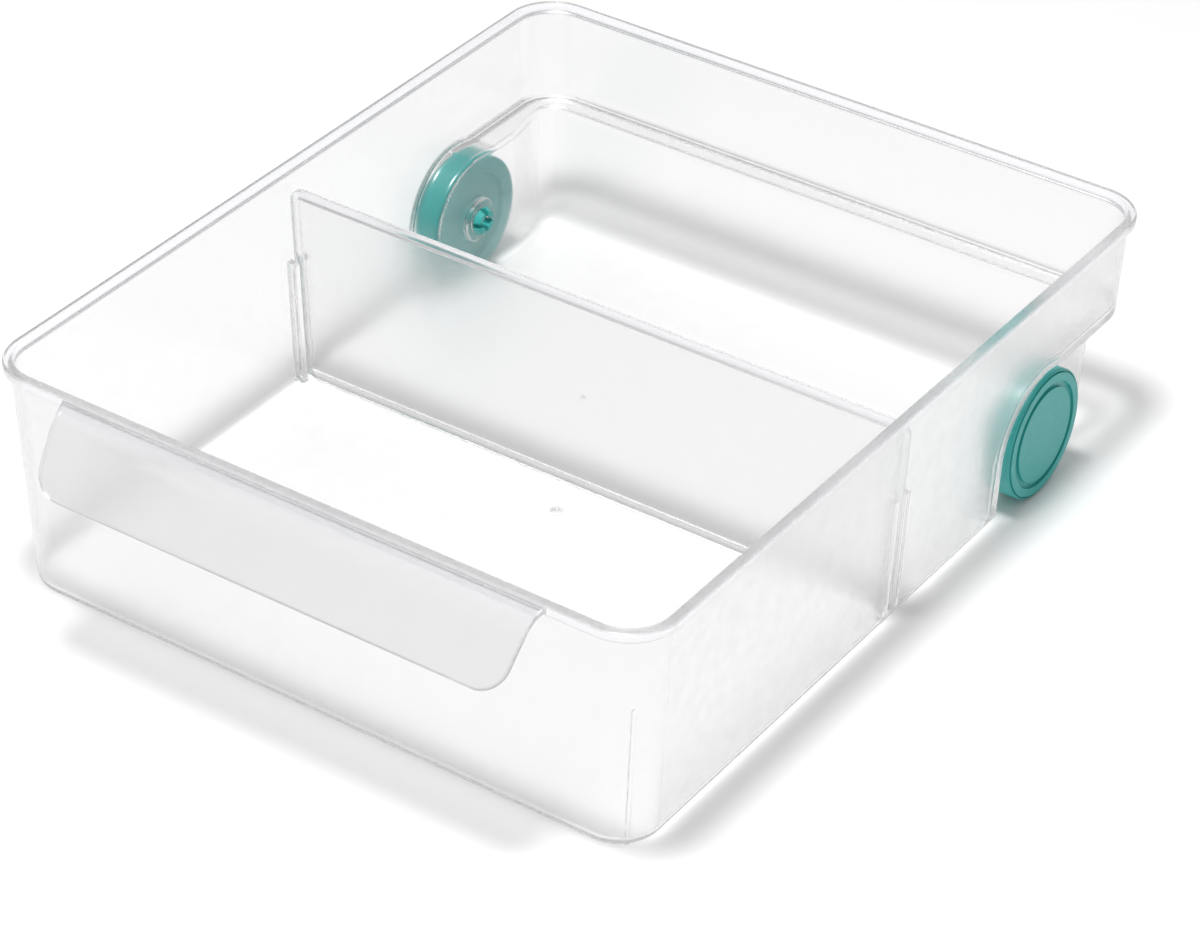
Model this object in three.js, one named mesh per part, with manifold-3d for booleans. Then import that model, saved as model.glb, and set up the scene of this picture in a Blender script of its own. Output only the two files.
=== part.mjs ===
// Pull-out fridge organizer bin: a clear moulded tub whose rear is stepped in to clear two wheels,
// a clear divider that lifts out of its guides, and two wheels that snap into the rear side walls.
// Millimetres, +Z up. The front, with the pull flap, faces -Y. The origin is the middle of the base.

import * as THREE from 'three';
import { mergeVertices } from 'three/addons/utils/BufferGeometryUtils.js';
import Module from 'manifold-3d';

// Tub: rim, walls and floor
const RIM_WIDTH = 300;
const RIM_DEPTH = 360;
const HEIGHT = 100;
const WALL = 1.8;
const FLOOR = 2.0;
const SIDE_DRAFT = 4.5;
const END_DRAFT = 2.4;
const RIM_LIP = 2.6;
const RIM_BEAD = 4.4;
const RIM_ROUND = 1.4;
const RIM_INNER_ROUND = 0.8;
const RIM_CORNER = 21;
const BASE_CORNER = 18;
const BASE_ROUND = 4;
const FLOOR_ROUND = 2.2;

// Wheels and their snap axles
const WHEEL_RADIUS = 27.5;
const WHEEL_WIDTH = 13.7;
const AXLE_FROM_REAR = 72.4;
const TREAD_ROUND = 0.8;
const FACE_STEP = 0.4;
const FACE_RADIUS = 26.2;
const EDGE_GROOVE = 0.6;
const EDGE_GROOVE_DEPTH = 1.2;
const FACE_GROOVE_RADIUS = 20.2;
const FACE_GROOVE = 2.5;
const FACE_GROOVE_DEPTH = 1.3;
const INNER_DISH_RADIUS = 20.2;
const INNER_DISH_DEPTH = 1.7;
const HUB_RADIUS = 9;
const PIN_RADIUS = 5.2;
const PIN_BORE = 2.8;
const BARB = 1.2;
const BARB_LENGTH = 2.8;
const PRONG_SLOT = 2.4;
const PRONG_DEPTH = 7.5;

// Stepped-in rear of the tub
const ARCH_CLEARANCE = 1.0;
const ARCH_RISE = 1.4;
const STEP_SIDE = 12.6;
const STEP_BACK = 14;
const LOWER_SIDE_DRAFT = 2;
const LOWER_BACK_DRAFT = 3.5;
const LOWER_CORNER = 7.5;
const BOSS_RADIUS = 9.5;
const BOSS_HEIGHT = 0.8;

// Divider and the guides that hold it
const DIVIDER_Y = 0;
const DIVIDER_DROP = 9.5;
const DIVIDER_PLATE = 2;
const DIVIDER_BEAD = 4;
const DIVIDER_BEAD_WIDTH = 3.6;
const DIVIDER_TOP_CORNER = 5;
const DIVIDER_FOOT_CORNER = 4.5;
const GUIDE_TOP = 58;
const GUIDE_DEPTH = 4;
const GUIDE_RIB = 3.2;

// Pull flap along the front rim
const FLAP_REACH = 7;
const FLAP_DROP = 1.7;
const FLAP_LENGTH = 30;
const FLAP_LEAN = 36;
const FLAP_THICKNESS = 2.6;
const FLAP_BEND = 4;
const FLAP_ROOT_WIDTH = 219;
const FLAP_WIDTH = 215;
const FLAP_FOOT_WIDTH = 209.6;
const FLAP_CORNER = 11;

// Small moulded details
const CORNER_RIB = 1.4;
const CORNER_RIB_DEPTH = 2.6;
const CORNER_RIB_TOP = 64;
const GATE_RADIUS = 6;
const GATE_DEPTH = 0.5;
const FLOOR_GATE_Y = -19;

// Clearances between pieces
const RUNNING_GAP = 0.3;
const SEAT_GAP = 0.3;
const SIDE_GAP = 0.4;

// Facets
const CORNER_STEPS = 8;
const ROUND_STEPS = 3;
const ARCH_STEPS = 20;
const WHEEL_STEPS = 56;

// Working values
const REACH = RIM_WIDTH + RIM_DEPTH;
const CUT_MARGIN = 5;
const BASE_HALF_X = RIM_WIDTH / 2 - RIM_LIP - SIDE_DRAFT;
const BASE_HALF_Y = RIM_DEPTH / 2 - RIM_LIP - END_DRAFT;
const TOP_CORNER = RIM_CORNER - RIM_LIP;
const AXLE_Y = RIM_DEPTH / 2 - AXLE_FROM_REAR;
const AXLE_Z = WHEEL_RADIUS;
const ARCH_RADIUS = WHEEL_RADIUS + ARCH_CLEARANCE;
const LEDGE_Z = AXLE_Z + ARCH_RADIUS - ARCH_RISE;
const HOLE_RADIUS = PIN_RADIUS + RUNNING_GAP;
const PAD_X = lowerHalfX(AXLE_Z + WHEEL_RADIUS);
const BOSS_X = lowerHalfX(AXLE_Z) - WALL - BOSS_HEIGHT;
const WHEEL_X = PAD_X + RUNNING_GAP;

const wasm = await Module();
wasm.setup();

// Half widths of the outside wall at a height
function wallHalfX(z) {
  return BASE_HALF_X + (SIDE_DRAFT * z) / HEIGHT;
}

function wallHalfY(z) {
  return BASE_HALF_Y + (END_DRAFT * z) / HEIGHT;
}

// Outside of the stepped-in lower wall at a height: its half width, and how far back it reaches
function lowerHalfX(z) {
  return wallHalfX(LEDGE_Z) - STEP_SIDE - LOWER_SIDE_DRAFT * (1 - z / LEDGE_Z);
}

function lowerBackY(z) {
  return wallHalfY(LEDGE_Z) - STEP_BACK - LOWER_BACK_DRAFT * (1 - z / LEDGE_Z);
}

// Joining and cutting
function toSolid(geometry) {
  const bare = geometry.clone();
  bare.deleteAttribute('normal');
  bare.deleteAttribute('uv');
  const merged = mergeVertices(bare, 1e-4);
  const vertProperties = Float32Array.from(merged.attributes.position.array);
  const triVerts = Uint32Array.from(merged.index.array);
  return new wasm.Manifold(new wasm.Mesh({ numProp: 3, vertProperties, triVerts }));
}

function toGeometry(solid) {
  const { vertProperties, triVerts } = solid.getMesh();
  const geometry = new THREE.BufferGeometry();
  geometry.setAttribute('position', new THREE.BufferAttribute(vertProperties, 3));
  geometry.setIndex(new THREE.BufferAttribute(triVerts, 1));
  geometry.computeVertexNormals();
  return geometry;
}

function join(solids) {
  return solids.reduce((whole, piece) => whole.add(piece));
}

// A rounded rectangle as points, anticlockwise
function roundedOutline(halfX, front, back, radius) {
  const points = [];
  const centres = [[1, back - radius], [-1, back - radius], [-1, front + radius], [1, front + radius]];
  centres.forEach(([side, y], corner) => {
    for (let i = 0; i <= CORNER_STEPS; i++) {
      const angle = ((corner + i / CORNER_STEPS) * Math.PI) / 2;
      const x = side * (halfX - radius) + radius * Math.cos(angle);
      points.push(new THREE.Vector2(x, y + radius * Math.sin(angle)));
    }
  });
  return points;
}

// A closed body through outlines with equal counts of points, each { z, points }
function loft(sections) {
  const count = sections[0].points.length;
  const positions = sections.flatMap(({ z, points }) => points.flatMap((p) => [p.x, p.y, z]));
  const index = [];
  for (let s = 0; s + 1 < sections.length; s++) {
    for (let i = 0; i < count; i++) {
      const a = s * count + i;
      const b = s * count + ((i + 1) % count);
      index.push(a, b, b + count, a, b + count, a + count);
    }
  }
  const last = (sections.length - 1) * count;
  for (const [a, b, c] of THREE.ShapeUtils.triangulateShape(sections[0].points, [])) {
    index.push(c, b, a, last + a, last + b, last + c);
  }
  const geometry = new THREE.BufferGeometry();
  geometry.setAttribute('position', new THREE.Float32BufferAttribute(positions, 3));
  geometry.setIndex(index);
  return toSolid(geometry);
}

// A flat outline pushed through a depth, with its own x, y and z turned to the axes given
function extrude(shape, depth, axes, steps = CORNER_STEPS) {
  const geometry = new THREE.ExtrudeGeometry(shape, { depth, bevelEnabled: false, curveSegments: steps });
  geometry.translate(0, 0, -depth / 2);
  geometry.applyMatrix4(new THREE.Matrix4().makeBasis(...axes));
  return geometry;
}

const AXIS_X = new THREE.Vector3(1, 0, 0);
const AXIS_Y = new THREE.Vector3(0, 1, 0);
const AXIS_Z = new THREE.Vector3(0, 0, 1);
const SIDE_VIEW = [AXIS_Y, AXIS_Z, AXIS_X];
const FRONT_VIEW = [AXIS_X, AXIS_Z, AXIS_Y.clone().negate()];

// Heights and insets of a quarter round between a level face and a wall
function quarterRound(radius) {
  return Array.from({ length: ROUND_STEPS + 1 }, (_, i) => {
    const angle = (i / ROUND_STEPS) * (Math.PI / 2);
    return { rise: radius * (1 - Math.cos(angle)), inset: radius * (1 - Math.sin(angle)) };
  });
}

// Section of the tub's main wall, moved outwards by grow
function wallSection(z, grow) {
  const level = THREE.MathUtils.clamp(z, 0, HEIGHT);
  const halfY = wallHalfY(level) + grow;
  const radius = THREE.MathUtils.lerp(BASE_CORNER, TOP_CORNER, level / HEIGHT) + grow;
  return { z, points: roundedOutline(wallHalfX(level) + grow, -halfY, halfY, radius) };
}

// Section of the narrow lower rear, moved outwards by grow. Its front end lies inside the main wall.
function lowerSection(z, grow) {
  const front = AXLE_Y - ARCH_RADIUS * 2;
  const points = roundedOutline(lowerHalfX(z) + grow, front, lowerBackY(z) + grow, LOWER_CORNER + grow);
  return { z, points };
}

// Everything below the ledge and around the wheels, outside the narrow lower rear. The thickness
// moves its faces into the tub, so that the cut outside and the shelf inside make an even wall.
function steppedRear(thickness, bottom, round) {
  const radius = ARCH_RADIUS + thickness;
  const ledge = LEDGE_Z + thickness;
  const archEnd = Math.asin((ledge - AXLE_Z) / radius);
  const outline = new THREE.Shape();
  outline.moveTo(AXLE_Y - radius, -CUT_MARGIN);
  outline.lineTo(AXLE_Y - radius, AXLE_Z);
  outline.absarc(AXLE_Y, AXLE_Z, radius, Math.PI, archEnd, true);
  outline.lineTo(RIM_DEPTH, ledge);
  outline.lineTo(RIM_DEPTH, -CUT_MARGIN);
  outline.closePath();
  const around = toSolid(extrude(outline, REACH, SIDE_VIEW, ARCH_STEPS));
  const rounding = quarterRound(round).map(
    ({ rise, inset }) => lowerSection(bottom + rise, -inset - thickness));
  const under = { z: -CUT_MARGIN * 2, points: rounding[0].points };
  const top = lowerSection(HEIGHT, -thickness);
  return around.subtract(loft([under, ...rounding, top]));
}

// Outside of the tub: base edge, drafted wall and the bead round the rim
function tubOutside() {
  const beadFoot = HEIGHT - RIM_BEAD;
  const base = quarterRound(BASE_ROUND).map(({ rise, inset }) => wallSection(rise, -inset));
  const bead = quarterRound(RIM_ROUND).reverse();
  const rim = bead.map(({ rise, inset }) => wallSection(HEIGHT - rise, RIM_LIP - inset));
  const underBead = bead.slice().reverse();
  const lip = underBead.map(({ rise, inset }) => wallSection(beadFoot + rise, RIM_LIP - inset));
  return loft([...base, wallSection(beadFoot, 0), ...lip, ...rim]).subtract(steppedRear(0, 0, BASE_ROUND));
}

// Room inside the tub, open above the rim
function tubInside() {
  const floor = quarterRound(FLOOR_ROUND).map(({ rise, inset }) => wallSection(FLOOR + rise, -WALL - inset));
  const neck = wallSection(HEIGHT - RIM_INNER_ROUND, -WALL);
  const mouth = wallSection(HEIGHT, RIM_INNER_ROUND - WALL);
  const above = wallSection(HEIGHT + CUT_MARGIN, RIM_INNER_ROUND - WALL);
  return loft([...floor, neck, mouth, above]).subtract(steppedRear(WALL, FLOOR, FLOOR_ROUND));
}

// Upright ribs on a side wall, one before and one behind the divider's edge
function guideRibs(side) {
  const buried = WALL / 2;
  const inner = (z) => wallHalfX(z) - WALL - GUIDE_DEPTH;
  const outline = new THREE.Shape();
  outline.moveTo(side * (wallHalfX(FLOOR) - buried), FLOOR - buried);
  outline.lineTo(side * inner(FLOOR), FLOOR - buried);
  outline.lineTo(side * inner(GUIDE_TOP - GUIDE_DEPTH), GUIDE_TOP - GUIDE_DEPTH / 2);
  outline.lineTo(side * (inner(GUIDE_TOP) + GUIDE_DEPTH / 2), GUIDE_TOP);
  outline.lineTo(side * (wallHalfX(GUIDE_TOP) - buried), GUIDE_TOP);
  outline.closePath();
  const offset = DIVIDER_BEAD / 2 + SEAT_GAP + GUIDE_RIB / 2;
  return [-offset, offset].map((dy) => {
    const rib = extrude(outline, GUIDE_RIB, FRONT_VIEW);
    rib.translate(0, DIVIDER_Y + dy, 0);
    return toSolid(rib);
  });
}

// Thin upright rib in a front corner, on the corner's diagonal
function cornerRib(side) {
  const inward = new THREE.Vector3(-side, 1, 0).normalize();
  const across = new THREE.Vector3().crossVectors(inward, AXIS_Z);
  const wallFace = (z) => {
    const radius = THREE.MathUtils.lerp(BASE_CORNER, TOP_CORNER, z / HEIGHT);
    const x = wallHalfX(z) - radius + radius * Math.SQRT1_2;
    const y = wallHalfY(z) - radius + radius * Math.SQRT1_2;
    return -(x + y) * Math.SQRT1_2 + WALL;
  };
  const buried = WALL / 2;
  const outline = new THREE.Shape();
  outline.moveTo(wallFace(FLOOR) - buried, FLOOR - buried);
  outline.lineTo(wallFace(FLOOR) + CORNER_RIB_DEPTH, FLOOR - buried);
  outline.lineTo(wallFace(CORNER_RIB_TOP) + CORNER_RIB_DEPTH, CORNER_RIB_TOP - CORNER_RIB_DEPTH);
  outline.lineTo(wallFace(CORNER_RIB_TOP) - buried, CORNER_RIB_TOP);
  outline.closePath();
  const rib = extrude(outline, CORNER_RIB, [inward, AXIS_Z, across]);
  const skew = (wallHalfX(0) - wallHalfY(0)) / 2;
  rib.translate(side * skew, skew, 0);
  return toSolid(rib);
}

// A round bar along X between two places, at the axle
function axleBar(radius, from, to) {
  const bar = new THREE.CylinderGeometry(radius, radius, to - from, WHEEL_STEPS / 2);
  bar.rotateZ(-Math.PI / 2);
  bar.translate((from + to) / 2, AXLE_Y, AXLE_Z);
  return bar;
}

function onBothSides(make) {
  const mirror = new THREE.Matrix4().makeRotationZ(Math.PI).setPosition(0, 2 * AXLE_Y, 0);
  return [toSolid(make()), toSolid(make().applyMatrix4(mirror))];
}

// Pull flap: a lip that runs out from the rim, bends down and leans away from the front wall
function pullFlap() {
  const lean = THREE.MathUtils.degToRad(FLAP_LEAN);
  const down = new THREE.Vector2(-Math.sin(lean), -Math.cos(lean));
  const out = new THREE.Vector2(-FLAP_REACH, -FLAP_DROP).normalize();
  const root = new THREE.Vector2(-RIM_DEPTH / 2, HEIGHT - RIM_INNER_ROUND / 2);
  const bend = root.clone().add(new THREE.Vector2(-FLAP_REACH, -FLAP_DROP));
  const foot = bend.clone().addScaledVector(down, FLAP_LENGTH);
  const start = root.clone().addScaledVector(out, -RIM_LIP / 2);
  const under = (p, direction) => p.clone().add(
    new THREE.Vector2(-direction.y, direction.x).multiplyScalar(FLAP_THICKNESS));
  const half = (Math.acos(out.dot(down))) / 2;
  const innerBend = bend.clone().addScaledVector(
    down.clone().sub(out).normalize(), FLAP_THICKNESS / Math.cos(half));
  const profile = new THREE.Shape();
  const corner = (to) => profile.quadraticCurveTo(to.via.x, to.via.y, to.end.x, to.end.y);
  const before = bend.clone().addScaledVector(out, -FLAP_BEND);
  const after = bend.clone().addScaledVector(down, FLAP_BEND);
  const innerAfter = under(after, down);
  const innerBefore = under(before, out);
  const innerFoot = under(foot, down);
  const innerStart = under(start, out);
  profile.moveTo(start.x, start.y);
  profile.lineTo(before.x, before.y);
  corner({ via: bend, end: after });
  profile.lineTo(foot.x, foot.y);
  profile.lineTo(innerFoot.x, innerFoot.y);
  profile.lineTo(innerAfter.x, innerAfter.y);
  corner({ via: innerBend, end: innerBefore });
  profile.lineTo(innerStart.x, innerStart.y);
  profile.closePath();
  const sheet = toSolid(extrude(profile, REACH, SIDE_VIEW));

  // Outline of the flap seen square to its leaning face: x across, y down from the bend
  const rootY = -FLAP_REACH;
  const face = new THREE.Shape();
  const turn = FLAP_FOOT_WIDTH / 2 - FLAP_CORNER;
  face.moveTo(-FLAP_ROOT_WIDTH / 2, rootY * 2);
  face.lineTo(-FLAP_ROOT_WIDTH / 2, rootY);
  face.lineTo(-FLAP_WIDTH / 2, 0);
  face.lineTo(-FLAP_FOOT_WIDTH / 2, FLAP_LENGTH - FLAP_CORNER);
  face.absarc(-turn, FLAP_LENGTH - FLAP_CORNER, FLAP_CORNER, Math.PI, Math.PI / 2, true);
  face.absarc(turn, FLAP_LENGTH - FLAP_CORNER, FLAP_CORNER, Math.PI / 2, 0, true);
  face.lineTo(FLAP_WIDTH / 2, 0);
  face.lineTo(FLAP_ROOT_WIDTH / 2, rootY);
  face.lineTo(FLAP_ROOT_WIDTH / 2, rootY * 2);
  face.closePath();
  const slope = new THREE.Vector3(0, down.x, down.y);
  const prism = extrude(face, REACH, [AXIS_X, slope, new THREE.Vector3().crossVectors(AXIS_X, slope)]);
  prism.translate(0, bend.x, bend.y);
  return sheet.intersect(toSolid(prism));
}

// Shallow round mark left by the moulding gate
function gateMark(x, y, z) {
  const ball = new THREE.SphereGeometry(GATE_RADIUS, WHEEL_STEPS / 2, WHEEL_STEPS / 2);
  ball.translate(x, y, z);
  return toSolid(ball);
}

function makeTub() {
  const shell = tubOutside().subtract(tubInside());
  const ribs = [-1, 1].flatMap((side) => [...guideRibs(side), cornerRib(side)]);
  const bosses = onBothSides(() => axleBar(BOSS_RADIUS, BOSS_X, PAD_X));
  const holes = onBothSides(() => axleBar(HOLE_RADIUS, BOSS_X - CUT_MARGIN, PAD_X + CUT_MARGIN));
  const gate = gateMark(0, FLOOR_GATE_Y, FLOOR + GATE_RADIUS - GATE_DEPTH);
  return join([shell, ...ribs, ...bosses, pullFlap()]).subtract(join([...holes, gate]));
}

// Outline of the divider, inset from its edge. Its sides follow the drafted walls.
function dividerOutline(inset) {
  const foot = FLOOR + SEAT_GAP + inset;
  const top = HEIGHT - DIVIDER_DROP - inset;
  const halfX = (z) => wallHalfX(z) - WALL - SIDE_GAP - inset;
  const footRadius = Math.max(DIVIDER_FOOT_CORNER - inset, DIVIDER_PLATE / 2);
  const topRadius = Math.max(DIVIDER_TOP_CORNER - inset, DIVIDER_PLATE / 2);
  const outline = new THREE.Shape();
  outline.moveTo(-halfX(foot) + footRadius, foot);
  outline.lineTo(halfX(foot) - footRadius, foot);
  outline.absarc(halfX(foot) - footRadius, foot + footRadius, footRadius, -Math.PI / 2, 0, false);
  outline.lineTo(halfX(top), top - topRadius);
  outline.absarc(halfX(top) - topRadius, top - topRadius, topRadius, 0, Math.PI / 2, false);
  outline.lineTo(-halfX(top) + topRadius, top);
  outline.absarc(-halfX(top) + topRadius, top - topRadius, topRadius, Math.PI / 2, Math.PI, false);
  outline.lineTo(-halfX(foot), foot + footRadius);
  outline.absarc(-halfX(foot) + footRadius, foot + footRadius, footRadius, Math.PI, Math.PI * 1.5, false);
  return outline;
}

// Divider: a thin plate with a thick bead all round its edge
function makeDivider() {
  const frame = dividerOutline(0);
  frame.holes.push(new THREE.Path(dividerOutline(DIVIDER_BEAD_WIDTH).getPoints(CORNER_STEPS)));
  const plate = toSolid(extrude(dividerOutline(DIVIDER_PLATE / 2), DIVIDER_PLATE, FRONT_VIEW));
  const bead = toSolid(extrude(frame, DIVIDER_BEAD, FRONT_VIEW));
  const gate = gateMark(0, -DIVIDER_PLATE / 2 - GATE_RADIUS + GATE_DEPTH / 2, HEIGHT / 2 - CUT_MARGIN);
  return plate.add(bead).subtract(gate);
}

// Wheel and snap axle in one piece, turned about its own Y axis: y = 0 is the inner face of the
// tyre and the axle runs to -y, through the boss, to four barbed prongs.
function makeWheel() {
  const shaft = BOSS_X - WHEEL_X - RUNNING_GAP;
  const tip = shaft - BARB_LENGTH;
  const shoulder = WHEEL_WIDTH - FACE_STEP;
  const profile = [
    [0, WHEEL_WIDTH],
    [FACE_GROOVE_RADIUS, WHEEL_WIDTH],
    [FACE_GROOVE_RADIUS, WHEEL_WIDTH - FACE_GROOVE_DEPTH],
    [FACE_GROOVE_RADIUS + FACE_GROOVE, WHEEL_WIDTH - FACE_GROOVE_DEPTH],
    [FACE_GROOVE_RADIUS + FACE_GROOVE, WHEEL_WIDTH],
    [FACE_RADIUS, WHEEL_WIDTH],
    [FACE_RADIUS, WHEEL_WIDTH - EDGE_GROOVE_DEPTH],
    [FACE_RADIUS + EDGE_GROOVE, WHEEL_WIDTH - EDGE_GROOVE_DEPTH],
    [FACE_RADIUS + EDGE_GROOVE, shoulder],
    [WHEEL_RADIUS - TREAD_ROUND / 2, shoulder],
    [WHEEL_RADIUS, shoulder - TREAD_ROUND],
    [WHEEL_RADIUS, TREAD_ROUND],
    [WHEEL_RADIUS - TREAD_ROUND, 0],
    [INNER_DISH_RADIUS, 0],
    [INNER_DISH_RADIUS - INNER_DISH_DEPTH / 2, INNER_DISH_DEPTH],
    [HUB_RADIUS + TREAD_ROUND, INNER_DISH_DEPTH],
    [HUB_RADIUS, 0],
    [PIN_RADIUS, 0],
    [PIN_RADIUS, shaft],
    [PIN_RADIUS + BARB, shaft],
    [PIN_RADIUS + BARB, shaft - BARB_LENGTH / 4],
    [PIN_RADIUS - BARB / 2, tip],
    [PIN_BORE, tip],
    [PIN_BORE, 0],
    [0, 0],
  ];
  const points = profile.reverse().map(([r, y]) => new THREE.Vector2(r, y));
  const body = toSolid(new THREE.LatheGeometry(points, WHEEL_STEPS));
  const across = (PIN_RADIUS + BARB) * 2 + CUT_MARGIN;
  const slots = [[across, PRONG_SLOT], [PRONG_SLOT, across]].map(([x, z]) => {
    const slot = new THREE.BoxGeometry(x, PRONG_DEPTH + CUT_MARGIN, z);
    slot.translate(0, tip + (PRONG_DEPTH - CUT_MARGIN) / 2, 0);
    return toSolid(slot);
  });
  return body.subtract(join(slots));
}

// Materials
const clear = { roughness: 0.4, metalness: 0, transparent: true, opacity: 0.4 };
const tubMaterial = new THREE.MeshStandardMaterial({ color: 0xe8ecee, ...clear });
const dividerMaterial = new THREE.MeshStandardMaterial({ color: 0xe4e9eb, ...clear });
const wheelMaterial = new THREE.MeshStandardMaterial({ color: 0x5aa39e, roughness: 0.45, metalness: 0 });

function named(name, solid, material) {
  const mesh = new THREE.Mesh(toGeometry(solid), material);
  mesh.name = name;
  return mesh;
}

// A wheel on its axle, facing out of the side given
function wheelAt(side, name) {
  const group = new THREE.Group();
  group.position.set(side * WHEEL_X, AXLE_Y, AXLE_Z);
  const wheel = named(name, makeWheel(), wheelMaterial);
  wheel.rotation.z = (-side * Math.PI) / 2;
  group.add(wheel);
  return group;
}

const bin = new THREE.Group();
bin.add(named('tub', makeTub(), tubMaterial));
const divider = named('divider', makeDivider(), dividerMaterial);
divider.position.set(0, DIVIDER_Y, 0);
bin.add(divider);
bin.add(wheelAt(-1, 'wheel_left'));
bin.add(wheelAt(1, 'wheel_right'));

export default bin;
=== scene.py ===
import math

import bpy
import numpy as np
from mathutils import Matrix, Vector


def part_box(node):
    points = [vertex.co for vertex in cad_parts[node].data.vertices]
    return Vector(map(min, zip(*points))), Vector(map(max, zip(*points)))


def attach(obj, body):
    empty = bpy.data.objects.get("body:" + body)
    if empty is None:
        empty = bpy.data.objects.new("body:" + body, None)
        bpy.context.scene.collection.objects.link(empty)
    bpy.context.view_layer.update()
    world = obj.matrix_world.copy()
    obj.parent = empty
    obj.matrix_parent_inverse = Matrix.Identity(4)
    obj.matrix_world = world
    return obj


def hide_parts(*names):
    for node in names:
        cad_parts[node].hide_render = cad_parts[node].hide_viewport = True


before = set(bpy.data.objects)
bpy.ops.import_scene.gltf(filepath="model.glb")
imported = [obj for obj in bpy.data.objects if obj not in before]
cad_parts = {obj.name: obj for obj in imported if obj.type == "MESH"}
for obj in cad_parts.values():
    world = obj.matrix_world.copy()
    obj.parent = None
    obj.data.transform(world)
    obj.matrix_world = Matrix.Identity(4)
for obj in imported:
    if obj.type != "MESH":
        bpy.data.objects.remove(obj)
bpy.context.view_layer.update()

# The mouldings are worked out in millimetres, in the CAD's axes, and made in metres.
MM = 0.001

# Overall sizes, from the frame
tub_high = Vector(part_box("tub")[1]) / MM
divider_low, divider_high = [Vector(corner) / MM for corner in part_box("divider")]
wheel_low, wheel_high = [Vector(corner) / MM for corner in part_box("wheel_right")]

# Tub: rim, walls and floor
RIM_HALF_X = tub_high.x
RIM_HALF_Y = tub_high.y
HEIGHT = tub_high.z
WALL = 1.8
FLOOR = 2.0
SIDE_DRAFT = 4.5
END_DRAFT = 2.4
RIM_LIP = 2.6
RIM_BEAD = 4.4
RIM_ROUND = 1.3
RIM_INNER_ROUND = 0.8
UNDER_BEAD_ROUND = 0.8
BASE_CORNER = 18
TOP_CORNER = 18.4
BASE_ROUND = 4
FLOOR_ROUND = 3
BASE_HALF_X = RIM_HALF_X - RIM_LIP - SIDE_DRAFT
BASE_HALF_Y = RIM_HALF_Y - RIM_LIP - END_DRAFT

# Wheels and their snap axles
WHEEL_RADIUS = (wheel_high.z - wheel_low.z) / 2
AXLE_Y = (wheel_high.y + wheel_low.y) / 2
AXLE_Z = WHEEL_RADIUS
WHEEL_WIDTH = 13.7
WHEEL_X = wheel_high.x - WHEEL_WIDTH
TREAD_ROUND = 0.8
FACE_STEP = 0.4
FACE_RADIUS = 26.2
FACE_ROUND = 0.3
EDGE_GROOVE = 0.6
EDGE_GROOVE_DEPTH = 1.2
FACE_GROOVE_RADIUS = 20.2
FACE_GROOVE = 2.5
FACE_GROOVE_DEPTH = 1.3
GROOVE_ROUND = 0.15
INNER_DISH_RADIUS = 20.2
INNER_DISH_DEPTH = 1.7
DISH_SLOPE = 0.5
HUB_RADIUS = 9
PIN_RADIUS = 5.2
PIN_GAP = 0.3
PIN_BORE = 2.8
BARB = 1.2
BARB_LENGTH = 2.8
BARB_TAPER = 1.5 * BARB
PRONG_SLOT = 2.4
PRONG_DEPTH = 7.5

# Stepped-in rear of the tub
ARCH_GAP = 1
ARCH_RADIUS = WHEEL_RADIUS + ARCH_GAP
LEDGE_DROP = 1.4
LEDGE_Z = AXLE_Z + ARCH_RADIUS - LEDGE_DROP
LEDGE_BLEND = 3
WHEEL_STEP = 12.6
CORNER_STEP = 9.2
BACK_STEP = 10.6
EASE_LEAD = 3
EASE_Y = AXLE_Y + ARCH_RADIUS - EASE_LEAD
EASE_LENGTH = 24
LOWER_SIDE_DRAFT = 2
LOWER_BACK_DRAFT = 3.5
LOWER_CORNER = 7.5
FILLET_START = 2
STEP_EDGE = 0.5
STEP_FILLET = 1.0
SHELF_EDGE = 2.6
SHELF_FILLET = 4.2
BOSS_RADIUS = 9.5
BOSS_HEIGHT = 0.8
BOSS_ROUND = 0.4
HOLE_RADIUS = PIN_RADIUS + PIN_GAP
HOLE_ROUND = 0.25

# Divider and the guides that hold it
DIVIDER_FOOT = divider_low.z
DIVIDER_TOP = divider_high.z
DIVIDER_PLATE = 2
DIVIDER_BEAD = divider_high.y - divider_low.y
DIVIDER_BEAD_WIDTH = 3.6
DIVIDER_CORNER = 4.8
BEAD_ROUND = 1.1
BEAD_FILLET = 0.6
SIDE_GAP = 0.4
GUIDE_TOP = 58
GUIDE_DEPTH = 4
GUIDE_RIB = 3.2
GUIDE_ROUND = 0.6
GUIDE_GAP = 0.3
GUIDE_OFFSET = DIVIDER_BEAD / 2 + GUIDE_GAP + GUIDE_RIB / 2

# Pull flap along the front rim
FLAP_REACH = 7
FLAP_DROP = 1.7
FLAP_BELOW_RIM = 0.5
FLAP_ROOT_Z = HEIGHT - FLAP_BELOW_RIM
FLAP_LENGTH = 30
FLAP_LEAN = math.radians(36)
FLAP_THICKNESS = 2.6
FLAP_BEND = 4.6
FLAP_ROOT_HALF = 109.5
FLAP_HALF = 107.5
FLAP_FOOT_HALF = 104.8
FLAP_CORNER = 11
FLAP_EDGE = 1.2
FLAP_ROOT_FILLET = 0.2

# Small moulded details
CORNER_RIB = 1.4
CORNER_RIB_DEPTH = 0.4
CORNER_RIB_TOP = 64
CORNER_RIB_ROUND = 0.6
GATE_RADIUS = 5
GATE_DEPTH = 1
GATE_ROUND = 0.2
FLOOR_GATE_Y = -19
DIVIDER_GATE_Z = HEIGHT / 2 - 5

# Meshing
GRADIENT_STEP = 0.01
NET_PASSES = 2
FINAL_PASSES = 4
PROJECT_REACH = 0.5
LEAST_STEEPNESS = 0.2
TUB_KEEPS = 0.3
DIVIDER_KEEPS = 0.5
WHEEL_KEEPS = 0.6

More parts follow.
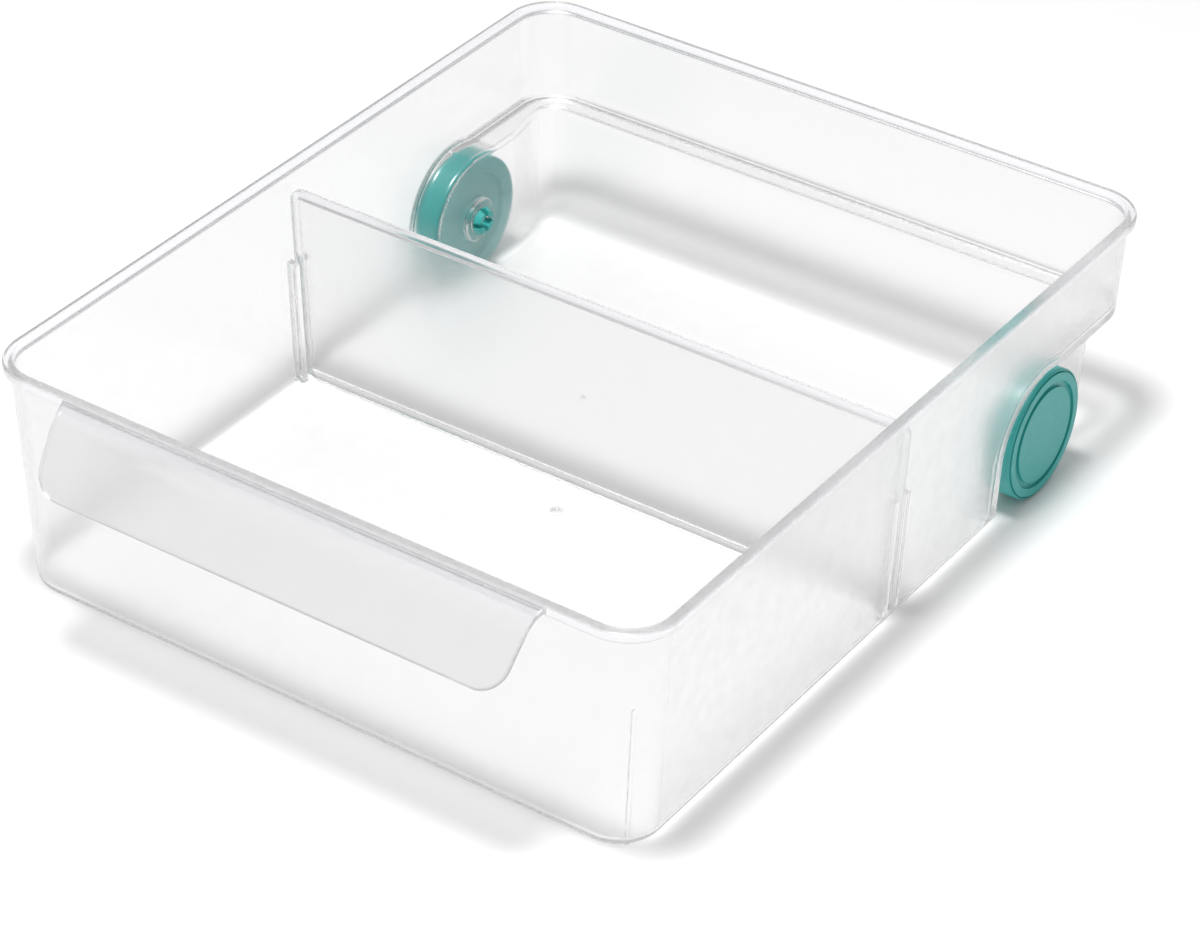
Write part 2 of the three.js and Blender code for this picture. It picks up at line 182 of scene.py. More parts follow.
# Clear plastic: its tint, and the share of falling light that each face lets through. Heights in metres
FLOOR_TINT = (1, 1, 1)
WALL_TINT = (0.92, 0.917, 0.919)
EDGE_TINT = (0.94, 0.94, 0.962)
WALL_TINT_HEIGHTS = (0.002, 0.006)
EDGE_BLEND = 0.001
FLOOR_PASSES = (1, 1, 1)
WALL_PASSES = (0.74, 0.74, 0.74)
SOFT_PASSES = (0.95, 0.95, 0.95)
WALL_PASSES_HEIGHTS = (0.002, 0.07)
GRAZING_POWER = 3
PLASTIC_IOR = 1.5
CLEAR_ROUGHNESS = (0.20, 0.24)

# Teal plastic and studio floor
DARK_TEAL = (0.036, 0.395, 0.372)
LIGHT_TEAL = (0.047, 0.43, 0.405)
TEAL_ROUGHNESS = (0.36, 0.46)
DARK_FLOOR = (0.90, 0.90, 0.90)
LIGHT_FLOOR = (0.92, 0.92, 0.92)
FLOOR_ROUGHNESS = 0.4
FLOOR_SPECULAR = 0.3
FLOOR_HALF = 6.0
FLOOR_DROP = 0.0003

# Most of the noise lies in this range
NOISE_LOW = 0.3
NOISE_HIGH = 0.7

# Studio light
OVERHEAD_PLACE = (-0.02, -0.35, 2.0)
OVERHEAD_SIZE = 0.42
OVERHEAD_WATTS = 34
SOFTBOX_DIRECTION = (-0.3, 0.1, 0.95)
SOFTBOX_SPREAD = math.radians(75)
SOFTBOX_LIGHT = 0.54
ROOM_LIGHT = 0.4
LIGHT_BOUNCES = 32
DIFFUSE_BOUNCES = 8
INDIRECT_CLAMP = 2

# Camera, fitted to the photo
IMAGE_WIDTH = 1200
IMAGE_HEIGHT = 927
FOCAL_PIXELS = 4093.82
OPTICAL_CENTRE = (598.236, 466.361)
CAMERA_AZIMUTH = math.radians(34.2528)
CAMERA_ELEVATION = math.radians(34.8022)
CAMERA_ROLL = math.radians(0.9835)
CAMERA_DISTANCE = 1.60023
CAMERA_SLIDE = (0.005034, -0.030409)
CAMERA_TARGET = Vector((0, 0, 0.05))
SENSOR_WIDTH = 36


# Bodies are distances in millimetres, negative inside, that join and cut with rounded edges

def both(a, b, radius):
    """What two bodies share, with the edge between them rounded."""
    sharp = np.minimum(np.maximum(a, b), -radius)
    return sharp + np.hypot(np.maximum(a + radius, 0), np.maximum(b + radius, 0))


def either(a, b, radius):
    """Two bodies joined, with a fillet between them."""
    return -both(-a, -b, radius)


def without(a, b, radius):
    """One body less another, with the edge of the cut rounded."""
    return both(a, -b, radius)


def plan(x, y, half_x, front, back, radius):
    """Distance from a rounded rectangle seen from above."""
    over_x = np.abs(x) - half_x + radius
    over_y = np.abs(y - (front + back) / 2) - (back - front) / 2 + radius
    outside = np.hypot(np.maximum(over_x, 0), np.maximum(over_y, 0))
    return outside + np.minimum(np.maximum(over_x, over_y), 0) - radius


def wall_half_x(z):
    return BASE_HALF_X + SIDE_DRAFT * np.clip(z / HEIGHT, 0, 1)


def wall_half_y(z):
    return BASE_HALF_Y + END_DRAFT * np.clip(z / HEIGHT, 0, 1)


def wall_corner(z):
    return BASE_CORNER + (TOP_CORNER - BASE_CORNER) * np.clip(z / HEIGHT, 0, 1)


def wheel_wall_x(z):
    """The lower side wall beside the wheels."""
    return wall_half_x(LEDGE_Z) - WHEEL_STEP - LOWER_SIDE_DRAFT * (1 - z / LEDGE_Z)


def lower_back_y(z):
    return wall_half_y(LEDGE_Z) - BACK_STEP - LOWER_BACK_DRAFT * (1 - z / LEDGE_Z)


PAD_X = wheel_wall_x(AXLE_Z + WHEEL_RADIUS)
BOSS_X = wheel_wall_x(AXLE_Z) - WALL - BOSS_HEIGHT


def main_wall(x, y, z):
    half_y = wall_half_y(z)
    return plan(x, y, wall_half_x(z), -half_y, half_y, wall_corner(z))


def lower_wall(x, y, z):
    """The stepped-in rear: close in beside the wheels, and easing out towards the rear corners."""
    share = np.clip((y - EASE_Y) / EASE_LENGTH, 0, 1)
    half_x = wheel_wall_x(z) + (WHEEL_STEP - CORNER_STEP) * share * share * (3 - 2 * share)
    front = AXLE_Y - 2 * ARCH_RADIUS
    return plan(x, y, half_x, front, lower_back_y(z), LOWER_CORNER)


def wheel_space(y, z):
    """Side view of the room for the wheels: the arch, and all below the ledge behind it."""
    dy, dz = y - AXLE_Y, z - AXLE_Z
    arch = np.hypot(dy, dz) - ARCH_RADIUS
    before = np.maximum(-dy - ARCH_RADIUS, dz)
    behind = np.maximum(-dy, z - LEDGE_Z)
    return either(np.minimum(arch, before), behind, LEDGE_BLEND)


def stepped_body(x, y, z, inset, bottom, base_round, step_edge, step_fillet):
    """The tub's outside, or the room inside it when the faces are moved in by the wall. The step's
    fillet fades in above the rounded base."""
    main = both(main_wall(x, y, z) + inset, bottom - z, base_round)
    main = without(main, wheel_space(y, z) - inset, step_edge)
    rear = both(lower_wall(x, y, z) + inset, bottom - z, base_round)
    above_base = np.clip((z - bottom) / base_round - FILLET_START, 0, 1)
    return either(main, rear, step_fillet * above_base)


def rim_bead(x, y, z):
    """The thick band round the top of the walls."""
    outer = both(main_wall(x, y, z) - RIM_LIP, z - HEIGHT, RIM_ROUND)
    return both(outer, HEIGHT - RIM_BEAD - z, RIM_ROUND)


def pull_flap(x, y, z):
    """A lip that runs out from the rim, bends down and leans away from the front wall."""
    bend_y = -RIM_HALF_Y - FLAP_REACH
    bend_z = FLAP_ROOT_Z - FLAP_DROP
    lip_length = math.hypot(FLAP_REACH, FLAP_DROP)
    above_lip = ((z - bend_z) * FLAP_REACH - (y - bend_y) * FLAP_DROP) / lip_length
    before_face = -(y - bend_y) * math.cos(FLAP_LEAN) + (z - bend_z) * math.sin(FLAP_LEAN)
    face = both(above_lip, before_face, FLAP_BEND)
    sheet = np.abs(face + FLAP_THICKNESS / 2) - FLAP_THICKNESS / 2

    down = -(y - bend_y) * math.sin(FLAP_LEAN) - (z - bend_z) * math.cos(FLAP_LEAN)
    taper = np.interp(down, (-FLAP_REACH, 0, FLAP_LENGTH),
                      (FLAP_ROOT_HALF, FLAP_HALF, FLAP_FOOT_HALF))
    outline = both(np.abs(x) - taper, down - FLAP_LENGTH, FLAP_CORNER)
    flap = both(sheet, outline, FLAP_EDGE)
    return np.maximum(flap, -main_wall(x, y, z) - WALL / 2)


def guide_ribs(x, y, z):
    """Two upright ribs on each side wall, with the divider's edge between them."""
    wall = main_wall(x, y, z)
    inner = -wall - WALL - GUIDE_DEPTH
    sides = np.abs(np.abs(y) - GUIDE_OFFSET) - GUIDE_RIB / 2
    rib = both(both(inner, z - GUIDE_TOP, GUIDE_DEPTH / 2), sides, GUIDE_ROUND)
    buried = np.maximum(wall + WALL / 2, FLOOR / 2 - z)
    return np.maximum(rib, buried)


def corner_ribs(x, y, z):
    """Thin upright ribs on the diagonals of the two front corners."""
    wall = main_wall(x, y, z)
    radius = wall_corner(z)
    out_x = np.abs(x) - wall_half_x(z) + radius
    out_y = -y - wall_half_y(z) + radius
    sides = np.abs(out_x - out_y) / math.sqrt(2) - CORNER_RIB / 2
    inner = -wall - WALL - CORNER_RIB_DEPTH
    top = (z - CORNER_RIB_TOP + np.maximum(-wall - WALL, 0)) / math.sqrt(2)
    rib = both(both(inner, top, CORNER_RIB_ROUND), sides, CORNER_RIB_ROUND)
    buried = np.maximum(wall + WALL / 2, FLOOR / 2 - z)
    in_corner = np.maximum(-out_x, -out_y)
    return np.maximum(rib, np.maximum(buried, in_corner))


def axle_bosses(x, y, z):
    """Round pads on the inside of the wall, which back the axle holes."""
    round_axle = np.hypot(y - AXLE_Y, z - AXLE_Z)
    boss = both(round_axle - BOSS_RADIUS, BOSS_X - np.abs(x), BOSS_ROUND)
    return np.maximum(boss, np.abs(x) - PAD_X)


def axle_holes(x, y, z):
    round_axle = np.hypot(y - AXLE_Y, z - AXLE_Z)
    return np.maximum(round_axle - HOLE_RADIUS, BOSS_X - BOSS_RADIUS - np.abs(x))


def gate_mark(x, y, z, centre):
    """Shallow round dimple left by the moulding gate."""
    across = np.hypot(x - centre[0], y - centre[1])
    return np.hypot(across, z - centre[2]) - GATE_RADIUS


def tub(x, y, z):
    outside = stepped_body(x, y, z, 0, 0, BASE_ROUND, STEP_EDGE, STEP_FILLET)
    outside = np.maximum(outside, z - HEIGHT + RIM_ROUND)
    outside = either(outside, rim_bead(x, y, z), UNDER_BEAD_ROUND)
    outside = either(outside, pull_flap(x, y, z), FLAP_ROOT_FILLET)
    outside = np.maximum(outside, z - HEIGHT)
    room = stepped_body(x, y, z, WALL, FLOOR, FLOOR_ROUND, SHELF_FILLET, SHELF_EDGE)
    shell = without(outside, room, RIM_INNER_ROUND)
    shell = either(shell, guide_ribs(x, y, z), GUIDE_ROUND)
    shell = either(shell, corner_ribs(x, y, z), CORNER_RIB_ROUND)
    shell = either(shell, axle_bosses(x, y, z), BOSS_ROUND)
    shell = without(shell, axle_holes(x, y, z), HOLE_ROUND)
    gate = gate_mark(x, y, z, (0, FLOOR_GATE_Y, FLOOR + GATE_RADIUS - GATE_DEPTH))
    return without(shell, gate, GATE_ROUND)


def divider(x, y, z):
    """A thin plate with a thick bead all round its edge."""
    half_x = wall_half_x(z) - WALL - SIDE_GAP
    outline = plan(x, z, half_x, DIVIDER_FOOT, DIVIDER_TOP, DIVIDER_CORNER)
    ring = np.abs(outline + DIVIDER_BEAD_WIDTH / 2) - DIVIDER_BEAD_WIDTH / 2
    bead = both(ring, np.abs(y) - DIVIDER_BEAD / 2, BEAD_ROUND)
    plate = np.maximum(np.abs(y) - DIVIDER_PLATE / 2, outline + DIVIDER_BEAD_WIDTH / 2)
    gate_y = -DIVIDER_PLATE / 2 - GATE_RADIUS + GATE_DEPTH / 2
    gate = gate_mark(x, y, z, (0, gate_y, DIVIDER_GATE_Z))
    return without(either(plate, bead, BEAD_FILLET), gate, GATE_ROUND)


def ring_groove(x, r, inner, width, depth):
    """Groove round the wheel's outer face."""
    sides = np.abs(r - inner - width / 2) - width / 2
    return both(sides, WHEEL_WIDTH - depth - x, GROOVE_ROUND)


def wheel(x, y, z):
    """Wheel and snap axle about the X axis: the wheel's inner face is x = 0, the prongs run to -x."""
    r = np.hypot(y, z)
    tyre = both(r - WHEEL_RADIUS, x - WHEEL_WIDTH + FACE_STEP, TREAD_ROUND)
    face = np.maximum(r - FACE_RADIUS - EDGE_GROOVE / 2, x - WHEEL_WIDTH)
    body = both(np.minimum(tyre, face), -x, TREAD_ROUND)
    edge_groove = ring_groove(x, r, FACE_RADIUS, EDGE_GROOVE, EDGE_GROOVE_DEPTH)
    face_groove = ring_groove(x, r, FACE_GROOVE_RADIUS, FACE_GROOVE, FACE_GROOVE_DEPTH)
    body = without(without(body, edge_groove, GROOVE_ROUND), face_groove, GROOVE_ROUND)
    ring = np.maximum(r - INNER_DISH_RADIUS + DISH_SLOPE * x, HUB_RADIUS + DISH_SLOPE * x - r)
    body = without(body, both(ring, x - INNER_DISH_DEPTH, FACE_ROUND), FACE_ROUND)
    return snap_axle(body, x, y, z, r)


def snap_axle(body, x, y, z, r):
    """Adds the pin to a wheel, with its barb, its bore and the slots that make four prongs of it."""
    shaft_end = BOSS_X - WHEEL_X - PIN_GAP
    tip = shaft_end - BARB_LENGTH
    shaft = np.maximum(r - PIN_RADIUS, x - INNER_DISH_DEPTH)
    cone = r - PIN_RADIUS - BARB - (x - shaft_end) * (BARB_TAPER / BARB_LENGTH)
    barb = both(both(cone, x - shaft_end, FACE_ROUND), r - PIN_RADIUS - BARB, FACE_ROUND)
    pin = both(np.minimum(shaft, barb), tip - x, FACE_ROUND)
    body = either(body, pin, FACE_ROUND)
    bore = np.maximum(r - PIN_BORE, x)
    slots = np.minimum(np.abs(y), np.abs(z)) - PRONG_SLOT / 2
    slots = np.maximum(np.maximum(slots, x - tip - PRONG_DEPTH), r - PIN_RADIUS - 2 * BARB)
    return without(body, np.minimum(bore, slots), FACE_ROUND)


# Meshing

def ticks(start, *spans):
    """Grid lines from a start over spans that each have an end and a step."""
    lines = [np.array([start], float)]
    for end, step in spans:
        count = max(1, round(abs(end - start) / step))
        lines.append(np.linspace(start, end, count + 1)[1:])
        start = end
    return np.concatenate(lines)


def mirrored(half):
    return np.concatenate([-half[:0:-1], half])


def gradient(distance, points):
    """Slope of the distance at each point."""
    slopes = []
    for axis in range(3):
        step = np.zeros(3)
        step[axis] = GRADIENT_STEP
        ahead, behind = distance(*(points + step).T), distance(*(points - step).T)
        slopes.append((ahead - behind) / (2 * GRADIENT_STEP))
    return np.stack(slopes, axis=1)


def on_surface(distance, points, passes):
    """Moves points along the slope of the distance on to the surface."""
    for _ in range(passes):
        slope = gradient(distance, points)
        steepness = np.maximum((slope ** 2).sum(axis=1), LEAST_STEEPNESS)
        move = np.clip(distance(*points.T) / steepness, -PROJECT_REACH, PROJECT_REACH)
        points = points - slope * move[:, None]
    return points


def straight(x, u, v):
    return x, u, v


def in_rings(x, u, v):
    """A grid whose square rings about the X axis are bent into circles."""
    wide = np.abs(u) >= np.abs(v)
    reach = np.where(wide, u, v)
    turn = np.where(wide, v, u) / np.where(reach == 0, 1, reach) * (math.pi / 4)
    along, aside = reach * np.cos(turn), reach * np.sin(turn)
    return x, np.where(wide, along, aside), np.where(wide, aside, along)


def surface_net(distance, lines, bend):
    """Points and quads of the surface of a body, one point for each grid cell that it crosses."""
    depth = distance(*bend(*np.meshgrid(*lines, indexing="ij", sparse=True)))
    inside = depth < 0
    shape = np.array(inside.shape) - 1
    corners = [np.array((i, j, k)) for i in (0, 1) for j in (0, 1) for k in (0, 1)]
    filled = sum(inside[tuple(slice(c, c + n) for c, n in zip(corner, shape))].astype(np.int8)
                 for corner in corners)
    crossed = (filled > 0) & (filled < 8)
    cells = np.argwhere(crossed)
    number = np.full(crossed.shape, -1, dtype=np.int64)
    number[crossed] = np.arange(len(cells))

    total = np.zeros((len(cells), 3))
    hits = np.zeros(len(cells))
    quads = []
    for axis in range(3):
        along = np.eye(3, dtype=int)[axis]
        for corner in corners:
            if corner[axis]:
                continue
            near, far = cells + corner, cells + corner + along
            a, b = depth[tuple(near.T)], depth[tuple(far.T)]
            cut = (a < 0) != (b < 0)
            share = np.where(cut, a / np.where(cut, a - b, 1), 0)
            point = np.stack([lines[i][near[:, i]] for i in range(3)], axis=1)
            point[:, axis] += share * (lines[axis][far[:, axis]] - lines[axis][near[:, axis]])
            total += np.where(cut[:, None], point, 0)
            hits += cut
        quads.append(net_quads(inside, number, axis))
    points = np.stack(bend(*(total / hits[:, None]).T), axis=1)
    return on_surface(distance, points, NET_PASSES), np.concatenate(quads)


def net_quads(inside, number, axis):
    """Quads round the grid edges along one axis that leave or enter the body."""
    second, third = (axis + 1) % 3, (axis + 2) % 3
    low = np.take(inside, range(inside.shape[axis] - 1), axis)
    high = np.take(inside, range(1, inside.shape[axis]), axis)
    edges = np.argwhere(low != high)
    leaving = low[tuple(edges.T)]
    ring = []
    for back_second, back_third in ((1, 1), (0, 1), (0, 0), (1, 0)):
        cell = edges.copy()
        cell[:, second] -= back_second
        cell[:, third] -= back_third
        ring.append(number[tuple(cell.T)])
    quads = np.stack(ring, axis=1)
    quads[~leaving] = quads[~leaving, ::-1]
    return quads


def quad_mesh(name, points, quads):
    mesh = bpy.data.meshes.new(name)
    mesh.vertices.add(len(points))
    mesh.vertices.foreach_set("co", points.ravel())
    mesh.loops.add(quads.size)
    mesh.loops.foreach_set("vertex_index", quads.ravel())
    mesh.polygons.add(len(quads))
    mesh.polygons.foreach_set("loop_start", np.arange(0, quads.size, 4))
    mesh.update(calc_edges=True)
    mesh.validate()
    return mesh


def thinned(mesh, keep):
    """The mesh with a share of its faces left, fewest where it is flat."""
    obj = bpy.data.objects.new(mesh.name, mesh)
    bpy.context.scene.collection.objects.link(obj)
    obj.modifiers.new("thin", "DECIMATE").ratio = keep
    graph = bpy.context.evaluated_depsgraph_get()
    result = bpy.data.meshes.new_from_object(obj.evaluated_get(graph))
    bpy.data.objects.remove(obj)
    return result


def moulding(name, distance, lines, keep, bend=straight, place=Vector((0, 0, 0)), turned=False):
    """A smooth mesh object of a body, which may be turned half round before it is put in place."""
    mesh = thinned(quad_mesh(name, *surface_net(distance, lines, bend)), keep)
    points = np.empty(len(mesh.vertices) * 3)
    mesh.vertices.foreach_get("co", points)
    points = on_surface(distance, points.reshape(-1, 3), FINAL_PASSES)
    normals = gradient(distance, points)
    normals /= np.linalg.norm(normals, axis=1)[:, None]
    if turned:
        points *= (-1, -1, 1)
        normals *= (-1, -1, 1)
    points = points * MM + np.array(place)
    mesh.vertices.foreach_set("co", points.ravel())
    mesh.polygons.foreach_set("use_smooth", np.ones(len(mesh.polygons), dtype=bool))
    mesh.normals_split_custom_set_from_vertices(normals)
    mesh.update()
    obj = bpy.data.objects.new(name, mesh)
    bpy.context.scene.collection.objects.link(obj)
    return obj


# Grids in millimetres, fine at edges and curves and wide where a piece is flat

def tub_lines():
    half_x = ticks(0, (8, 1), (92, 7), (112, 0.9), (122, 5), (138, 0.45), (142, 0.8), (151, 0.5))
    y = ticks(-207, (-182, 0.85), (-166, 0.5), (-152, 1), (-26, 7), (-12, 0.9), (-7, 2.5),
              (7, 0.5), (74, 7), (97, 1.1), (118, 0.5), (142, 1.1), (150, 4), (172, 0.8), (181, 0.5))
    z = ticks(-0.6, (6, 0.5), (17, 1), (38, 0.5), (52, 1.3), (60, 0.5), (68, 1.3), (72, 2),
              (94, 0.9), (100.8, 0.4))
    return mirrored(half_x), y, z


def divider_lines():
    half_x = ticks(0, (8, 1), (134, 6), (148, 0.4))
    y = mirrored(ticks(0, (2.6, 0.2)))
    z = ticks(1.7, (8, 0.4), (42, 3), (50, 0.8), (82, 3), (91.2, 0.4))
    return mirrored(half_x), y, z


def wheel_lines():
    x = ticks(-8, (2.6, 0.3), (11.8, 1.2), (14.2, 0.2))
    across = mirrored(ticks(0, (8, 0.35), (18, 1), (19.8, 0.6), (23.1, 0.2), (25.7, 0.65),
                            (28.1, 0.15)))
    return x, across, across


# Materials

def new_material(name):
    material = bpy.data.materials.new(name)
    material.use_nodes = True
    nodes = material.node_tree.nodes
    return material, nodes, material.node_tree.links, nodes["Principled BSDF"]


def noise(nodes, links, scale, detail):
    """Noise in the piece's own space."""
    place = nodes.new("ShaderNodeTexCoord")
    texture = nodes.new("ShaderNodeTexNoise")
    texture.inputs["Scale"].default_value = scale
    texture.inputs["Detail"].default_value = detail
    links.new(place.outputs["Object"], texture.inputs["Vector"])
    return texture.outputs["Fac"]


def spread(nodes, links, value, low, high):
    """Maps noise on to a range."""
    ramp = nodes.new("ShaderNodeMapRange")
    ramp.inputs["From Min"].default_value = NOISE_LOW
    ramp.inputs["From Max"].default_value = NOISE_HIGH
    ramp.inputs["To Min"].default_value = low
    ramp.inputs["To Max"].default_value = high
    links.new(value, ramp.inputs["Value"])
    return ramp.outputs["Result"]


def add_bump(nodes, links, shader, height, strength, distance):
    bump = nodes.new("ShaderNodeBump")
    bump.inputs["Strength"].default_value = strength
    bump.inputs["Distance"].default_value = distance
    links.new(height, bump.inputs["Height"])
    links.new(bump.outputs["Normal"], shader.inputs["Normal"])


def blend(nodes, links, factor, first, second):
    """Blends two colours, each of them plain or given by other nodes."""
    mix = nodes.new("ShaderNodeMix")
    mix.data_type = "RGBA"
    for socket, colour in (("A", first), ("B", second)):
        if isinstance(colour, tuple):
            mix.inputs[socket].default_value = (*colour, 1)
        else:
            links.new(colour, mix.inputs[socket])
    links.new(factor, mix.inputs["Factor"])
    return mix.outputs["Result"]


def height_share(nodes, links, low, high):
    """0 below one height and 1 above another, in the piece's own space."""
    place = nodes.new("ShaderNodeTexCoord")
    parts = nodes.new("ShaderNodeSeparateXYZ")
    share = nodes.new("ShaderNodeMapRange")
    share.inputs["From Min"].default_value = low
    share.inputs["From Max"].default_value = high
    links.new(place.outputs["Object"], parts.inputs["Vector"])
    links.new(parts.outputs["Z"], share.inputs["Value"])
    return share.outputs["Result"]


def calculate(nodes, links, operation, first, second):
    """One step of arithmetic, kept between 0 and 1."""
    node = nodes.new("ShaderNodeMath")
    node.operation = operation
    node.use_clamp = True
    links.new(first, node.inputs[0])
    if isinstance(second, (int, float)):
        node.inputs[1].default_value = second
    else:
        links.new(second, node.inputs[1])
    return node.outputs["Value"]


def let_light_through(nodes, links, shader, wall_share):
    """Light that falls on matt surfaces crosses the clear walls. The lamp's light loses a share that
    grows with height, and both lose more at a grazing angle."""
    path = nodes.new("ShaderNodeLightPath")
    from_lamp, from_matt = path.outputs["Is Shadow Ray"], path.outputs["Is Diffuse Ray"]
    facing = nodes.new("ShaderNodeLayerWeight").outputs["Facing"]
    grazing = calculate(nodes, links, "POWER", facing, GRAZING_POWER)
    stopped = calculate(nodes, links, "MULTIPLY", grazing, wall_share)
    falling = calculate(nodes, links, "MAXIMUM", from_lamp, from_matt)
    passed = calculate(nodes, links, "SUBTRACT", falling, stopped)

    lamp_passes = blend(nodes, links, wall_share, FLOOR_PASSES, WALL_PASSES)
    passes = blend(nodes, links, from_matt, lamp_passes, SOFT_PASSES)
    through = nodes.new("ShaderNodeBsdfTransparent")
    links.new(passes, through.inputs["Color"])
    mix = nodes.new("ShaderNodeMixShader")
    links.new(passed, mix.inputs["Fac"])
    links.new(shader.outputs["BSDF"], mix.inputs[1])
    links.new(through.outputs["BSDF"], mix.inputs[2])
    links.new(mix.outputs["Shader"], nodes["Material Output"].inputs["Surface"])


def clear_plastic(name, edge_z):
    """Clear moulded plastic with a light haze, slow ripples from the mould and a faint tint in the
    thick edge above a height."""
    material, nodes, links, shader = new_material(name)
    let_light_through(nodes, links, shader, height_share(nodes, links, *WALL_PASSES_HEIGHTS))
    wall_share = height_share(nodes, links, *WALL_TINT_HEIGHTS)
    edge_share = height_share(nodes, links, edge_z - EDGE_BLEND, edge_z + EDGE_BLEND)
    tint = blend(nodes, links, wall_share, FLOOR_TINT, WALL_TINT)
    links.new(blend(nodes, links, edge_share, tint, EDGE_TINT), shader.inputs["Base Color"])
    shader.inputs["Transmission Weight"].default_value = 1
    shader.inputs["IOR"].default_value = PLASTIC_IOR
    haze = noise(nodes, links, scale=140, detail=3)
    links.new(spread(nodes, links, haze, *CLEAR_ROUGHNESS), shader.inputs["Roughness"])
    ripple = noise(nodes, links, scale=9, detail=1)
    add_bump(nodes, links, shader, ripple, strength=0.05, distance=0.004)
    return material


def wheel_plastic(name):
    """Satin teal plastic, coloured through, with a fine moulded texture."""
    material, nodes, links, shader = new_material(name)
    mottle = noise(nodes, links, scale=60, detail=4)
    links.new(blend(nodes, links, mottle, DARK_TEAL, LIGHT_TEAL), shader.inputs["Base Color"])
    sheen = noise(nodes, links, scale=300, detail=2)
    links.new(spread(nodes, links, sheen, *TEAL_ROUGHNESS), shader.inputs["Roughness"])
    grain = noise(nodes, links, scale=1800, detail=2)
    add_bump(nodes, links, shader, grain, strength=0.06, distance=0.0004)
    return material


def floor_surface(name):
    material, nodes, links, shader = new_material(name)
    cloud = noise(nodes, links, scale=3, detail=2)
    links.new(blend(nodes, links, cloud, DARK_FLOOR, LIGHT_FLOOR), shader.inputs["Base Color"])
    shader.inputs["Roughness"].default_value = FLOOR_ROUGHNESS
    shader.inputs["Specular IOR Level"].default_value = FLOOR_SPECULAR
    return material


# Pieces

def add_pieces():
    clear_tub = clear_plastic("clear_tub_plastic", (HEIGHT - RIM_BEAD) * MM)
    clear_divider = clear_plastic("clear_divider_plastic", (DIVIDER_TOP - DIVIDER_BEAD_WIDTH) * MM)
    teal = wheel_plastic("wheel_plastic")
    made = [
        (moulding("tub_moulding", tub, tub_lines(), TUB_KEEPS), "tub", "clear_tub", clear_tub),
        (moulding("divider_moulding", divider, divider_lines(), DIVIDER_KEEPS), "divider",
         "clear_divider", clear_divider),
    ]
    for side, name in ((-1, "wheel_left"), (1, "wheel_right")):
        place = Vector((side * WHEEL_X, AXLE_Y, AXLE_Z)) * MM
        piece = moulding(name + "_moulding", wheel, wheel_lines(), WHEEL_KEEPS, bend=in_rings,
                         place=place, turned=side < 0)
        made.append((piece, name, "wheel", teal))
    for piece, body, slot, material in made:
        piece.data.materials.append(material)
        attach(piece, body)
        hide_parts(body)


# Studio

def add_floor():
    corners = [(x * FLOOR_HALF, y * FLOOR_HALF, -FLOOR_DROP)
               for x, y in ((-1, -1), (1, -1), (1, 1), (-1, 1))]
    mesh = bpy.data.meshes.new("studio_floor")
    mesh.from_pydata(corners, [], [(0, 1, 2, 3)])
    mesh.materials.append(floor_surface("studio_floor_surface"))
    obj = bpy.data.objects.new("studio_floor", mesh)
    bpy.context.scene.collection.objects.link(obj)


def add_overhead_light():
    """A round softbox high above the bin, a little to its front."""
    light = bpy.data.lights.new("overhead", "AREA")
    light.shape = "DISK"
    light.size = OVERHEAD_SIZE
    light.energy = OVERHEAD_WATTS
    obj = bpy.data.objects.new("overhead", light)
    obj.location = OVERHEAD_PLACE
    obj.rotation_euler = (-Vector(OVERHEAD_PLACE)).to_track_quat("-Z", "Y").to_euler()
    obj.visible_transmission = False
    bpy.context.scene.collection.objects.link(obj)


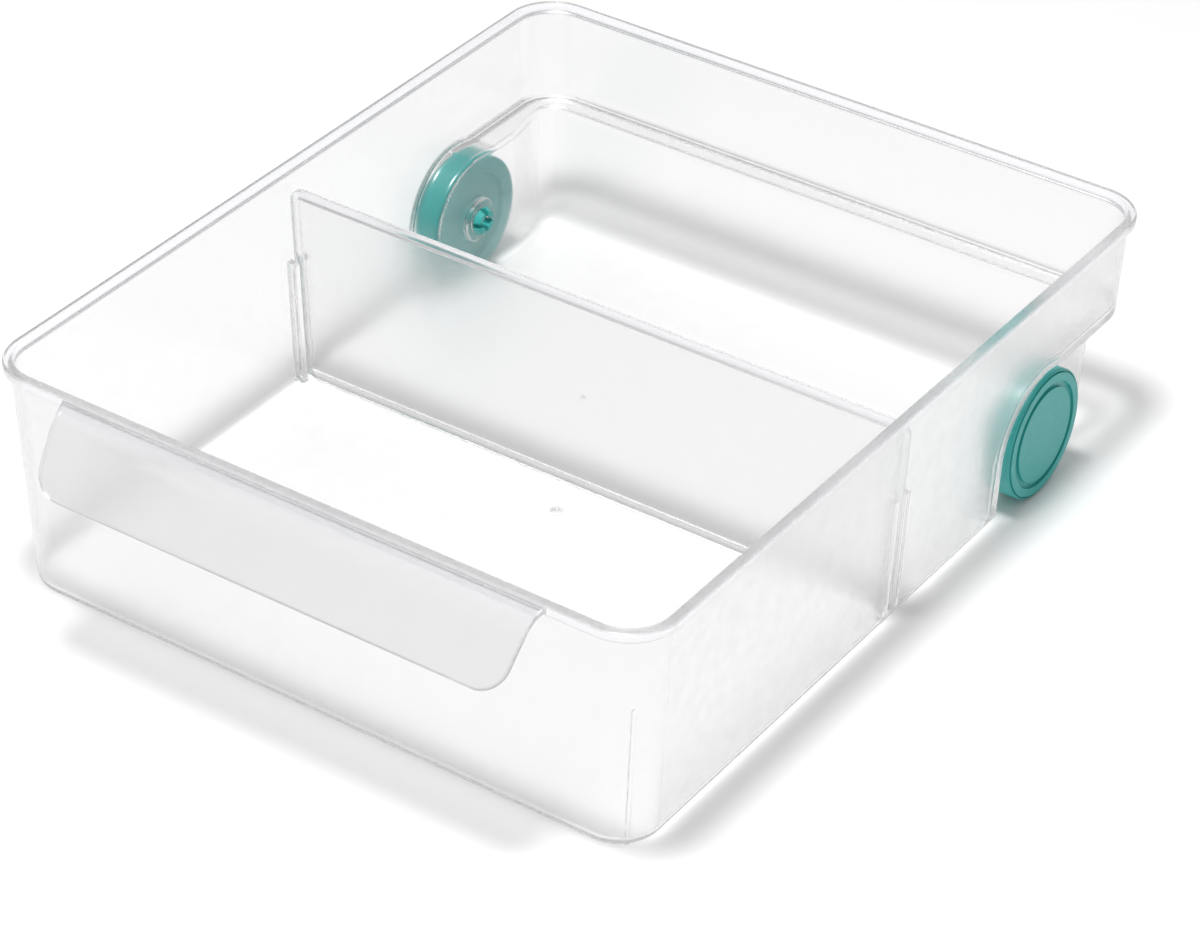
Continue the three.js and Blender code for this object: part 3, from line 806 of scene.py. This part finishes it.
def add_world():
    """White room that is a little brighter overhead, towards the left."""
    world = bpy.data.worlds.new("studio")
    world.use_nodes = True
    nodes, links = world.node_tree.nodes, world.node_tree.links
    place = nodes.new("ShaderNodeTexCoord")
    toward = nodes.new("ShaderNodeVectorMath")
    toward.operation = "DOT_PRODUCT"
    toward.inputs[1].default_value = Vector(SOFTBOX_DIRECTION).normalized()
    glow = nodes.new("ShaderNodeMapRange")
    glow.interpolation_type = "SMOOTHSTEP"
    glow.inputs["From Min"].default_value = math.cos(SOFTBOX_SPREAD)
    glow.inputs["From Max"].default_value = 1
    glow.inputs["To Min"].default_value = ROOM_LIGHT
    glow.inputs["To Max"].default_value = SOFTBOX_LIGHT
    links.new(place.outputs["Generated"], toward.inputs[0])
    links.new(toward.outputs["Value"], glow.inputs["Value"])
    links.new(glow.outputs["Result"], nodes["Background"].inputs["Strength"])
    nodes["Background"].inputs["Color"].default_value = (1, 1, 1, 1)
    world.cycles.sampling_method = "NONE"
    bpy.context.scene.world = world


def add_studio():
    add_floor()
    add_world()
    add_overhead_light()
    scene = bpy.context.scene
    scene.view_settings.view_transform = "Standard"
    scene.cycles.blur_glossy = 0
    scene.cycles.sample_clamp_indirect = INDIRECT_CLAMP
    scene.cycles.max_bounces = LIGHT_BOUNCES
    scene.cycles.transmission_bounces = LIGHT_BOUNCES
    scene.cycles.glossy_bounces = LIGHT_BOUNCES
    scene.cycles.diffuse_bounces = DIFFUSE_BOUNCES


def add_camera():
    back = Vector((math.sin(CAMERA_AZIMUTH) * math.cos(CAMERA_ELEVATION),
                   -math.cos(CAMERA_AZIMUTH) * math.cos(CAMERA_ELEVATION),
                   math.sin(CAMERA_ELEVATION)))
    level = Vector((math.cos(CAMERA_AZIMUTH), math.sin(CAMERA_AZIMUTH), 0))
    roll = Matrix.Rotation(CAMERA_ROLL, 3, back)
    right, up = roll @ level, roll @ back.cross(level)
    slide = right * CAMERA_SLIDE[0] + up * CAMERA_SLIDE[1]
    place = CAMERA_TARGET + back * CAMERA_DISTANCE + slide
    lens = bpy.data.cameras.new("camera")
    lens.sensor_width = SENSOR_WIDTH
    lens.lens = lens.sensor_width * FOCAL_PIXELS / IMAGE_WIDTH
    lens.shift_x = (IMAGE_WIDTH / 2 - OPTICAL_CENTRE[0]) / IMAGE_WIDTH
    lens.shift_y = (OPTICAL_CENTRE[1] - IMAGE_HEIGHT / 2) / IMAGE_WIDTH
    obj = bpy.data.objects.new("camera", lens)
    turn = Matrix((right, up, back)).transposed().to_4x4()
    obj.matrix_world = Matrix.Translation(place) @ turn
    bpy.context.scene.collection.objects.link(obj)
    bpy.context.scene.camera = obj


add_camera()
add_pieces()
add_studio()
